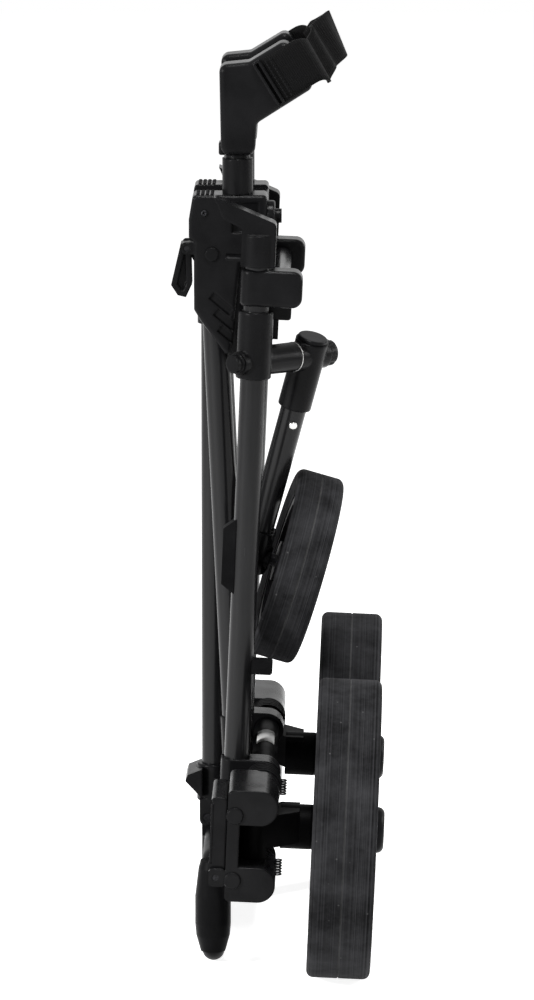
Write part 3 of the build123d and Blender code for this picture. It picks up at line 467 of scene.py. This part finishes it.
def shift(x: float, y: float, z: float) -> Matrix:
    """Matrix that moves a shape by distances in mm."""
    return Matrix.Translation(Vector((x, y, z)) * MM)


def merge(target: bmesh.types.BMesh, part: bmesh.types.BMesh, place: Matrix) -> None:
    """Move a bmesh into place and add it to another.

    Args:
        target: Bmesh that takes the part.
        part: Bmesh of the part, which is freed.
        place: Where the part goes.
    """
    bmesh.ops.transform(part, matrix=place, verts=part.verts)
    carrier = bpy.data.meshes.new("carrier")
    part.to_mesh(carrier)
    part.free()
    target.from_mesh(carrier)
    bpy.data.meshes.remove(carrier)


def spun(profile: Iterable[tuple[float, float]], steps: int, target: bmesh.types.BMesh,
         place: Matrix) -> None:
    """Spin a profile of radius and height about Z and add it to a bmesh.

    Args:
        profile: Radius and height of each point, in mm.
        steps: Number of steps of the full turn.
        target: Bmesh that takes the shape.
        place: Where the shape goes.
    """
    part = bmesh.new()
    verts = [part.verts.new((radius * MM, 0, height * MM)) for radius, height in profile]
    edges = [part.edges.new(pair) for pair in zip(verts, verts[1:])]
    bmesh.ops.spin(part, geom=verts + edges, axis=(0, 0, 1), cent=(0, 0, 0), angle=math.tau,
                   steps=steps, use_merge=True)
    bmesh.ops.remove_doubles(part, verts=part.verts, dist=SAME_POINT)
    bmesh.ops.recalc_face_normals(part, faces=part.faces)
    merge(target, part, place)


def socket_screw(target: bmesh.types.BMesh, place: Matrix, radius: float, height: float) -> None:
    """Add a button head with a hexagon socket to a bmesh.

    Args:
        target: Bmesh that takes the screw.
        place: Where the seat of the head goes, with Z out of the seat.
        radius: Radius of the head, in mm.
        height: Height of the head, in mm.
    """
    shares = ((1, 0), (1, 0.45), (0.86, 0.85), (0.6, 1), (0.46, 1), (0.44, 0.35), (0, 0.3))
    spun([(radius * wide, height * high) for wide, high in shares], 24, target, place)


@dataclass(frozen=True)
class Block:
    """Block with bevelled edges: its lengths along X, Y and Z and its bevel, in mm."""

    size: tuple[float, float, float]
    edge: float

    def add(self, target: bmesh.types.BMesh, place: Matrix) -> None:
        """Add the block to a bmesh.

        Args:
            target: Bmesh that takes the block.
            place: Where the block's middle goes.
        """
        part = bmesh.new()
        bmesh.ops.create_cube(part, size=1.0)
        bmesh.ops.scale(part, vec=tuple(length * MM for length in self.size), verts=part.verts)
        bmesh.ops.bevel(part, geom=part.edges[:], offset=self.edge * MM, segments=3, profile=0.5,
                        affect="EDGES", material=-1)
        merge(target, part, place)


def ribbon(line: list[Vector], across: Callable[[float], Vector], width: float, thick: float,
           rows: int) -> bmesh.types.BMesh:
    """Lay a flat strap along a line, with a UV map in millimetres.

    Args:
        line: Points of one edge of the strap.
        across: Unit direction over the strap at a share of its length.
        width: Width of the strap, in mm.
        thick: Thickness of the strap, in mm.
        rows: Number of faces over the width.

    Returns:
        The strap as a closed bmesh.
    """
    shape = bmesh.new()
    last = len(line) - 1
    runs = [0.0]
    for start, end in zip(line, line[1:]):
        runs.append(runs[-1] + (end - start).length)
    bmesh.ops.create_grid(shape, x_segments=last, y_segments=rows, size=0.5)
    cloth = shape.loops.layers.uv.new(CLOTH_MAP)
    flat: dict[bmesh.types.BMVert, tuple[float, float]] = {}
    for vert in shape.verts:
        step = round((vert.co.x + 0.5) * last)
        share = vert.co.y + 0.5
        flat[vert] = (runs[step] / MM, share * width)
        vert.co = line[step] + across(runs[step] / runs[-1]) * (share * width * MM)
    for face in shape.faces:
        for loop in face.loops:
            loop[cloth].uv = flat[loop.vert]
    bmesh.ops.recalc_face_normals(shape, faces=shape.faces)
    bmesh.ops.solidify(shape, geom=shape.faces[:], thickness=thick * MM)
    bmesh.ops.recalc_face_normals(shape, faces=shape.faces)
    return shape


@dataclass
class BagArmStrap:
    """Webbing strap between the bag arms, with its keeper bars and its stitching, in mm.

    Places are given along the sloping arms, across the cart and over the strap's width.
    """

    origin: Vector = field(default_factory=lambda: Vector((-2.16, 0.0, 842.265)) * MM)
    rise_deg: float = 31.5
    start: float = 4.0
    tip: float = 52.0
    side: float = 55.1
    sag: float = 8.0
    bow_reach: float = 29.0
    bow_lift: float = 2.0
    points_per_bend: int = 14
    width: float = 47.0
    thick: float = 2.2
    faces_over: int = 8
    sway: float = 0.12
    sway_rate: float = 26.0
    sway_middle: float = 0.06
    slack_power: int = 4
    # Distance of each keeper bar past the strap's start, and the bar's depth
    bars: tuple[tuple[float, float], ...] = ((-1.0, 4.6), (4.6, 3.6))
    bar_wide: float = 3.0
    bar_past: float = 2.0
    bar_sunk: float = 0.4
    bar_edge: float = 1.0
    bar_end: Block = Block((8.4, 4.0, 2.6), 0.9)
    bar_end_along: float = 1.8
    bar_end_over: float = 1.6
    bar_end_past: float = 0.5
    seams: tuple[float, float] = (10.0, 15.0)
    stitch: Block = Block((0.9, 0.8, 2.5), 0.3)
    stitch_count: int = 12
    stitch_pitch: float = 3.6

    def slope(self) -> Vector:
        """Direction along the sloping arms."""
        rise = math.radians(self.rise_deg)
        return Vector((math.cos(rise), 0, math.sin(rise)))

    def lift(self) -> Vector:
        """Direction over the width of the strap, square to the slope of the arms."""
        rise = math.radians(self.rise_deg)
        return Vector((-math.sin(rise), 0, math.cos(rise)))

    def spot(self, along: float, over: float, up: float) -> Vector:
        """Point from distances along the arms, across the cart and over the strap."""
        sloped = (self.slope() * along + self.lift() * up) * MM
        return self.origin + sloped + Vector((0, over * MM, 0))

    def sloped_place(self, along: float, over: float, up: float) -> Matrix:
        """Matrix that puts a shape on such a point, turned with the slope of the arms."""
        turn = Matrix.Rotation(math.radians(-self.rise_deg), 4, "Y")
        return Matrix.Translation(self.spot(along, over, up)) @ turn

    def route(self) -> list[Vector]:
        """Lower edge of the strap, from the near arm round both tips to the far arm."""
        tip, edge, low = self.tip, -self.side, -self.sag
        bow = tip + self.bow_reach
        # Bezier points: each bend starts at one row's first point and ends at the next row's
        knots = [self.spot(along, over, up) for along, over, up in (
            (self.start, edge, 0), (20, edge, 0), (32, edge, 0),
            (tip - 6, edge, 0), (tip + 5, edge - 1, 0), (tip + 9, edge + 8, low),
            (tip + 4, edge + 17, low), (tip, edge + 24, low), (tip + 18, edge + 22, 0),
            (tip + 16, edge + 33, 0), (tip + 14, edge + 42, 0), (bow + 4, -14, self.bow_lift),
            (bow, 0, self.bow_lift))]
        near: list[Vector] = []
        for first in range(0, len(knots) - 1, 3):
            near += interpolate_bezier(*knots[first:first + 4], self.points_per_bend)[:-1]
        far = [Vector((point.x, -point.y, point.z)) for point in reversed(near)]
        return near + knots[-1:] + far

    def build(self, shop: Workshop) -> None:
        """Make the strap, its keeper bars and its stitches.

        Args:
            shop: Workshop that holds the finishes.
        """
        def over(share: float) -> Vector:
            """Direction over the strap, which leans to and fro where the bow is slack."""
            slack = max(0.0, math.sin(math.pi * share)) ** self.slack_power
            sway = self.sway * math.sin(self.sway_rate * share) + self.sway_middle
            return (self.lift() + self.slope() * sway * slack).normalized()

        shape = ribbon(self.route(), over, self.width, self.thick, self.faces_over)
        strap = shop.piece("strap_webbing", shape, WEBBING, Body.UPRIGHT)
        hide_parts("bag_strap")
        self.keeper_bars(shop)
        self.stitches(shop)

    def keeper_bars(self, shop: Workshop) -> None:
        """Make the slotted bars that hold the strap's ends on both arms.

        Args:
            shop: Workshop that holds the finishes.
        """
        bars = bmesh.new()
        for hand in HANDS:
            for along, deep in self.bars:
                bar = Block((self.bar_wide, deep, self.width + self.bar_past), self.bar_edge)
                out = self.side + deep / 2 - self.bar_sunk
                bar.add(bars, self.sloped_place(self.start + along, hand * out, self.width / 2))
            for up in (-self.bar_end_past, self.width + self.bar_end_past):
                self.bar_end.add(bars, self.sloped_place(
                    self.start + self.bar_end_along, hand * (self.side + self.bar_end_over), up))
        frame = shop.piece("strap_keeper_bars", bars, NYLON, Body.UPRIGHT)
        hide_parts("strap_keeper")

    def stitches(self, shop: Workshop) -> None:
        """Make two rows of stitches beside each keeper.

        Args:
            shop: Workshop that holds the finishes.
        """
        stitches = bmesh.new()
        for hand in HANDS:
            for seam in self.seams:
                for step in range(self.stitch_count):
                    up = self.stitch_pitch + step * self.stitch_pitch
                    self.stitch.add(stitches, self.sloped_place(
                        self.start + seam, hand * (self.side + self.thick), up))
        shop.piece("strap_stitches", stitches, WEBBING_THREAD, Body.UPRIGHT)


@dataclass
class HubTrim:
    """Small parts of the hub and its arms, in mm: screws, tread pads, catches and webs.

    Places are those of the far side, which the near side mirrors.
    """

    screw_at: tuple[float, float, float] = (-72.5, 55.0, 738.0)
    screw_radius: float = 3.4
    screw_height: float = 2.0
    pad: Block = Block((3.4, 3.6, 2.2), 0.8)
    first_pad: tuple[float, float, float] = (-78.81, 24.5, 755.45)
    pad_columns: int = 4
    pad_rows: int = 6
    column_pitch: float = 4.6
    row_pitch: float = 5.0
    catch: Block = Block((7.0, 19.0, 13.0), 2.2)
    catch_at: tuple[float, float, float] = (-55.11, 39.0, 800.45)
    web: Block = Block((14.0, 8.0, 92.0), 1.5)
    web_at: tuple[float, float, float] = (-42.31, 44.0, 640.0)
    web_past: float = 3.0
    web_lean_deg: float = 5.9

    def build(self, shop: Workshop) -> None:
        """Make the hub's trim.

        Args:
            shop: Workshop that holds the finishes.
        """
        screws, pads, catches, webs = (bmesh.new() for _ in range(4))
        lean = Matrix.Rotation(math.radians(self.web_lean_deg), 4, "Y")
        for hand in HANDS:
            x, y, z = self.screw_at
            socket_screw(screws, aim(Vector((0, hand, 0)), Vector((x, hand * y, z)) * MM),
                         self.screw_radius, self.screw_height)
            x, y, z = self.first_pad
            for row in range(self.pad_rows):
                for column in range(self.pad_columns):
                    self.pad.add(pads, shift(x + column * self.column_pitch,
                                             hand * (y + row * self.row_pitch), z))
            x, y, z = self.catch_at
            self.catch.add(catches, shift(x, hand * y, z))
            x, y, z = self.web_at
            self.web.add(webs, shift(x, hand * y, z) @ lean @ shift(self.web_past, 0, 0))
        shop.piece("hub_screws", screws, BLACK_STEEL, Body.UPRIGHT)
        shop.piece("hub_tread_pads", pads, PAD_RUBBER, Body.UPRIGHT)
        shop.piece("arm_socket_catches", catches, NYLON, Body.UPRIGHT)
        shop.piece("hub_webs", webs, NYLON, Body.UPRIGHT)


@dataclass
class BaseTrim:
    """Small parts on the base frame, in mm, in its leaning frame with the pivot as origin.

    Places are those of the far side, which the near side mirrors.
    """

    pivot: Vector = field(default_factory=lambda: Vector((-40.972, 0.0, 181.423)) * MM)
    lean_deg: float = 2.42
    band_at: tuple[float, float, float] = (26.5, -14.0, 8.0)
    band_radius: float = 12.95
    band_length: float = 50.0
    band_thick: float = 0.2
    band_wrap_deg: float = 84.0
    band_steps: int = 16
    coil: Profile = ((3.6, 0.8), (4.4, 0), (3.6, -0.8), (2.8, 0), (3.6, 0.8))
    coil_at: tuple[float, float, float] = (45.0, 166.0, -76.0)
    coil_count: int = 6
    coil_pitch: float = 2.8
    coil_steps: int = 20
    ring_steps: int = 48
    washer_ring: Profile = ((8.3, 0), (14.8, 0), (14.8, 0.4), (8.3, 0.4), (8.3, 0))
    leg_at: tuple[float, float, float] = (0.0, -104.0, 419.0)
    washer_reach: float = 52.7
    stop: Block = Block((6.5, 5.0, 42.0), 0.8)
    stop_at: tuple[float, float, float] = (10.0, 162.0, -30.0)
    collar_ring: Profile = ((8.4, 0), (21.8, 0), (21.8, 3.6), (21.2, 4.2), (8.4, 4.2), (8.4, 0))
    collar_at: tuple[float, float, float] = (75.3, 155.0, -30.0)
    latch_edge: Block = Block((3.0, 2.0, 60.0), 0.6)
    latch_x: float = -19.65
    latch_z: float = -20.0
    latch_ends: tuple[float, float] = (239.55, 164.45)

    def frame(self) -> Matrix:
        """Matrix from the base's own frame to the cart's."""
        return Matrix.Translation(self.pivot) @ Matrix.Rotation(math.radians(self.lean_deg), 4, "Y")

    def build(self, shop: Workshop) -> None:
        """Make the small parts of the base, of its wheel arms and of its latches.

        Args:
            shop: Workshop that holds the finishes.
        """
        self.band(shop)
        self.springs(shop)
        self.washer(shop)
        self.swing_stops(shop)
        for side, hand, arm, latch in (("near", -1, Body.NEAR_ARM, Body.NEAR_LATCH),
                                       ("far", 1, Body.FAR_ARM, Body.FAR_LATCH)):
            # The dust collars take the near black arm nylon, whose colour is painted shade
            shop.piece("dust_collar_" + side, self.dust_collar(hand), ARM_NYLON_PAINTED_SHADE, arm)
            shop.piece("latch_edges_" + side, self.latch_edges(hand), NYLON, latch)

    def band(self, shop: Workshop) -> None:
        """Make the blank film band on the top of the rear cross tube.

        Args:
            shop: Workshop that holds the finishes.
        """
        shape = bmesh.new()
        wrap = math.radians(self.band_wrap_deg)
        start = Vector(self.band_at) * MM
        arm = Vector((-math.sin(wrap / 2), 0, math.cos(wrap / 2))) * (self.band_radius * MM)
        first = shape.verts.new(start + arm)
        second = shape.verts.new(start + arm + Vector((0, self.band_length * MM, 0)))
        edge = shape.edges.new((first, second))
        bmesh.ops.spin(shape, geom=[first, second, edge], axis=(0, 1, 0), cent=start, angle=wrap,
                       steps=self.band_steps)
        bmesh.ops.recalc_face_normals(shape, faces=shape.faces)
        bmesh.ops.transform(shape, matrix=self.frame(), verts=shape.verts)
        band = shop.piece("cross_tube_band", shape, FILM, Body.BASE)
        skin = band.modifiers.new("skin", "SOLIDIFY")
        skin.thickness = self.band_thick * MM
        skin.offset = 1.0

    def springs(self, shop: Workshop) -> None:
        """Make the coil springs beside the lower barrels of the wheel hinges.

        Args:
            shop: Workshop that holds the finishes.
        """
        coils = bmesh.new()
        x, y, z = self.coil_at
        for hand in HANDS:
            for turn in range(self.coil_count):
                middle = Vector((x, hand * y, z + turn * self.coil_pitch)) * MM
                spun(self.coil, self.coil_steps, coils, Matrix.Translation(self.frame() @ middle))
        shop.piece("hinge_springs", coils, BLACK_STEEL, Body.BASE)

    def washer(self, shop: Workshop) -> None:
        """Make the thin washer between the boss of the collar and the leg's tee.

        Args:
            shop: Workshop that holds the finishes.
        """
        shape = bmesh.new()
        axis = Vector((1, 1, 0)).normalized()
        middle = Vector(self.leg_at) + axis * self.washer_reach
        spun(self.washer_ring, self.ring_steps, shape, self.frame() @ aim(axis, middle * MM))
        shop.piece("leg_washer", shape, ZINC_STEEL, Body.BASE)

    def swing_stops(self, shop: Workshop) -> None:
        """Make the stop plates on the webs of the wheel hinges, behind the knuckles.

        Args:
            shop: Workshop that holds the finishes.
        """
        plates = bmesh.new()
        x, y, z = self.stop_at
        for hand in HANDS:
            self.stop.add(plates, self.frame() @ shift(x, hand * y, z))
        # The stop plates take the near black arm nylon, whose colour is painted shade
        shop.piece("swing_stops", plates, ARM_NYLON_PAINTED_SHADE, Body.BASE)

    def dust_collar(self, hand: int) -> bmesh.types.BMesh:
        """Draw the collar that closes the gap between a wheel arm and its hub.

        Args:
            hand: -1 for the near side and 1 for the far side.

        Returns:
            The collar's bmesh.
        """
        shape = bmesh.new()
        x, y, z = self.collar_at
        seat = Vector((x, hand * y, z)) * MM
        spun(self.collar_ring, self.ring_steps, shape,
             self.frame() @ aim(Vector((1, 0, 0)), seat))
        return shape

    def latch_edges(self, hand: int) -> bmesh.types.BMesh:
        """Draw the plain edges that close the ribs of a wheel latch at both ends.

        Args:
            hand: -1 for the near side and 1 for the far side.

        Returns:
            The bmesh of both edges.
        """
        shape = bmesh.new()
        for end in self.latch_ends:
            self.latch_edge.add(shape,
                                self.frame() @ shift(self.latch_x, hand * end, self.latch_z))
        return shape


@dataclass
class CartFrame:
    """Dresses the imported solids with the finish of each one's material slot or its own."""

    by_slot: dict[str, Finish] = field(default_factory=lambda: {
        "tube": TUBE_COAT, "casting": NYLON, "steel": BLACK_STEEL, "bright_steel": ZINC_STEEL,
        "grip": GRIP_RUBBER, "bush": BUSH_PLASTIC, "pad": PAD_RUBBER, "webbing": WEBBING})
    by_node: dict[str, Finish] = field(default_factory=lambda: {
        "loop_core": GRIP_RUBBER, "hinge_pin": NYLON, "clevis_screws": NYLON, "leg_shaft": NYLON,
        # The rear cross tube takes the near black coat, whose colour is painted shade
        # The wheel arms take the near black nylon, whose colour is painted shade
        "wheel_arm_near": ARM_NYLON_PAINTED_SHADE, "wheel_arm_far": ARM_NYLON_PAINTED_SHADE, "rear_cross_tube": TUBE_COAT_PAINTED_SHADE})

    def build(self, shop: Workshop, frame: dict[str, Any]) -> None:
        """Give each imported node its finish.

        Args:
            shop: Workshop that holds the finishes.
        """
        slots = {row["node"]: row["material_slot"] for row in frame["record"]["subparts"]}
        axles = {joint["child"]: joint for joint in frame["joints"] if joint.get("continuous")}
        for name, node in frame["nodes"].items():
            if slots[name] == "tyre":
                joint = axles[node["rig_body"]]
                finish = FoamTyreFinish("eva_foam_" + name, tuple(joint["pos_m"]),
                                        tuple(joint["axis"]))
            elif "rim" in name or "hub_cap" in name:
                finish = RIM_PLASTIC
            else:
                finish = self.by_node.get(name, self.by_slot[slots[name]])
            node.data.materials.clear()
            node.data.materials.append(shop.finish(finish))


@dataclass(frozen=True)
class Lamp:
    """Soft square lamp: its place and side in metres and its power in watts."""

    name: str
    place: tuple[float, float, float]
    watts: float
    size: float

    def hang(self, target: Vector) -> None:
        """Hang the lamp so that it faces a point.

        Args:
            target: The point, in metres.
        """
        light = bpy.data.lights.new(self.name, "AREA")
        light.energy = self.watts
        light.size = self.size
        lamp = bpy.data.objects.new(self.name, light)
        lamp.location = self.place
        lamp.rotation_euler = (target - Vector(self.place)).to_track_quat("-Z", "Y").to_euler()
        bpy.context.scene.collection.objects.link(lamp)


@dataclass
class Studio:
    """Pale sweep, soft lamps and the camera of the photograph, in metres."""

    height_px: int = 1000
    px_per_mm: float = 1.009
    distance: float = 6.3
    elevation_deg: float = 11.0
    azimuth_deg: float = 1.0
    target: tuple[float, float, float] = (-0.01234, 0.0, 0.443)
    sensor_mm: float = 24.0
    far_clip: float = 50.0
    floor_half: float = 8.0
    floor_glow: float = 0.9
    room_light: float = 0.08
    lamps: tuple[Lamp, ...] = (Lamp("key_lamp", (-2.7, -2.0, 1.5), 125.0, 0.5),
                               Lamp("fill_lamp", (1.6, -3.0, 1.0), 8.0, 1.0),
                               Lamp("top_lamp", (0.1, -0.9, 3.2), 75.0, 0.7),
                               Lamp("rim_lamp", (2.6, 0.6, 1.2), 45.0, 0.9))
    lamps_face: tuple[float, float, float] = (0.0, 0.0, 0.45)

    def build(self) -> None:
        """Set up the camera, the floor, the lamps and the world."""
        self.camera()
        self.floor()
        for lamp in self.lamps:
            lamp.hang(Vector(self.lamps_face))
        self.room()
        bpy.context.scene.view_settings.view_transform = "Standard"

    def room(self) -> None:
        """Make the white room, which looks white and gives a little light."""
        world = bpy.data.worlds.new("white_room")
        bpy.context.scene.world = world
        world.use_nodes = True
        tree = world.node_tree
        tree.nodes.clear()
        path = add_node(tree, "ShaderNodeLightPath", {}, {})
        seen = self.seen_direct(tree, path)
        strength = add_node(tree, "ShaderNodeMapRange", {},
                            {"Value": seen, "To Min": self.room_light, "To Max": 1.0})
        sky = add_node(tree, "ShaderNodeBackground", {},
                       {"Color": linear("#ffffff"), "Strength": strength.outputs[0]})
        add_node(tree, "ShaderNodeOutputWorld", {}, {"Surface": sky.outputs[0]})

    def seen_direct(self, tree: bpy.types.NodeTree, path: bpy.types.Node) -> bpy.types.NodeSocket:
        """Give 1 for rays from the camera, from gloss and through glass, which see the white room.

        Args:
            tree: Node tree of the floor or the world.
            path: Its Light Path node.

        Returns:
            The socket of that value.
        """
        total = path.outputs["Is Camera Ray"]
        for ray in ("Is Glossy Ray", "Is Transmission Ray"):
            total = add_node(tree, "ShaderNodeMath", {"operation": "MAXIMUM"},
                             {0: total, 1: path.outputs[ray]}).outputs[0]
        return total

    def camera(self) -> None:
        """Stand the camera where the photograph was taken from."""
        rise = math.radians(self.elevation_deg)
        side = math.radians(self.azimuth_deg)
        back = Vector((math.sin(side) * math.cos(rise), -math.cos(side) * math.cos(rise),
                       math.sin(rise)))
        lens = bpy.data.cameras.new("photo_camera")
        lens.sensor_fit = "VERTICAL"
        lens.sensor_height = self.sensor_mm
        focal_px = self.px_per_mm / MM * self.distance
        lens.lens = focal_px / self.height_px * lens.sensor_height
        lens.clip_end = self.far_clip
        camera = bpy.data.objects.new("photo_camera", lens)
        camera.location = Vector(self.target) + back * self.distance
        camera.rotation_euler = (-back).to_track_quat("-Z", "Y").to_euler()
        bpy.context.scene.collection.objects.link(camera)
        bpy.context.scene.camera = camera

    def floor(self) -> None:
        """Lay a pale floor that looks white to the camera and keeps the cart's shadow."""
        shape = bmesh.new()
        bmesh.ops.create_grid(shape, x_segments=1, y_segments=1, size=self.floor_half)
        mesh = bpy.data.meshes.new("studio_floor")
        shape.to_mesh(mesh)
        shape.free()
        floor = bpy.data.objects.new("studio_floor", mesh)
        bpy.context.scene.collection.objects.link(floor)
        material, tree = empty_material("white_paper_sweep")
        paper = add_node(tree, "ShaderNodeBsdfDiffuse", {}, {"Color": linear("#f4f4f4")})
        glow = add_node(tree, "ShaderNodeEmission", {},
                        {"Color": linear("#ffffff"), "Strength": self.floor_glow})
        path = add_node(tree, "ShaderNodeLightPath", {}, {})
        both = add_node(tree, "ShaderNodeAddShader", {}, {0: paper.outputs[0], 1: glow.outputs[0]})
        seen = add_node(tree, "ShaderNodeMixShader", {},
                        {"Fac": self.seen_direct(tree, path), 1: paper.outputs[0],
                         2: both.outputs[0]})
        close_material(tree, seen)
        mesh.materials.append(material)


def main() -> None:
    """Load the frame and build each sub-assembly."""
    logging.basicConfig(level=logging.INFO)
    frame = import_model()
    shop = Workshop()
    Studio().build()
    CartFrame().build(shop, frame)
    BagArmStrap().build(shop)
    HubTrim().build(shop)
    BaseTrim().build(shop)


if __name__ == "__main__":
    main()
